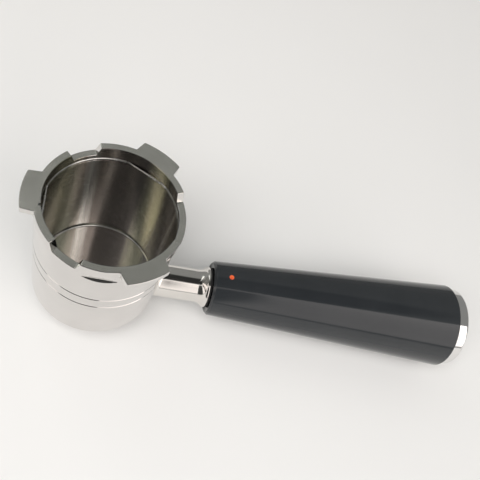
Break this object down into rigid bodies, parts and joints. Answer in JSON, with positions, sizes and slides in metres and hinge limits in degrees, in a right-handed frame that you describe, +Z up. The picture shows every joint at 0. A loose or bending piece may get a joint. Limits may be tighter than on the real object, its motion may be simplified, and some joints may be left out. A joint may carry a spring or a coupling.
{
  "type": "portafilter",
  "caption": "Espresso filter holder: a deep chromed cup with bayonet ears on its rim, an outlet nozzle, a chromed neck and a long tapered black grip with a chromed end cap.",
  "frame": {"origin": "centre of the outlet bore in the nozzle's lower face, which stands on the table", "axes": "+Z up along the cup's axis, towards its mouth; +X along the handle, away from the cup; the handle, the ears and the low arcs of the rim are symmetric about the XZ plane"},
  "size_m": [0.2136, 0.066, 0.0731],
  "materials": {
    "cup_metal": "polished outside, satin rim, turned inside",
    "spring_wire": "drawn wire",
    "nozzle_metal": "polished",
    "neck_metal": "polished",
    "seal_rubber": "matt",
    "grip_plastic": "satin",
    "insert_brass": "turned",
    "pin_steel": "ground",
    "dot_plastic": "gloss",
    "bolt_steel": "zinc plated",
    "cap_metal": "polished"
  },
  "bodies": {
    "holder": {"cup_body": "cup_metal", "outlet_nozzle": "nozzle_metal", "nozzle_seal": "seal_rubber", "neck": "neck_metal", "collar_seal": "seal_rubber", "grip": "grip_plastic", "grip_insert": "insert_brass", "locating_pin": "pin_steel", "index_dot": "dot_plastic", "tie_bolt": "bolt_steel", "flat_washer": "bolt_steel", "lock_washer": "bolt_steel", "end_cap": "cap_metal"},
    "spring": {"basket_spring": "spring_wire"}
  },
  "joints": [
    {"name": "spring_turn", "type": "hinge", "parent": "holder", "child": "spring", "pos_m": [0, 0, 0.0663], "axis": [0, 0, 1], "continuous": true}
  ]
}
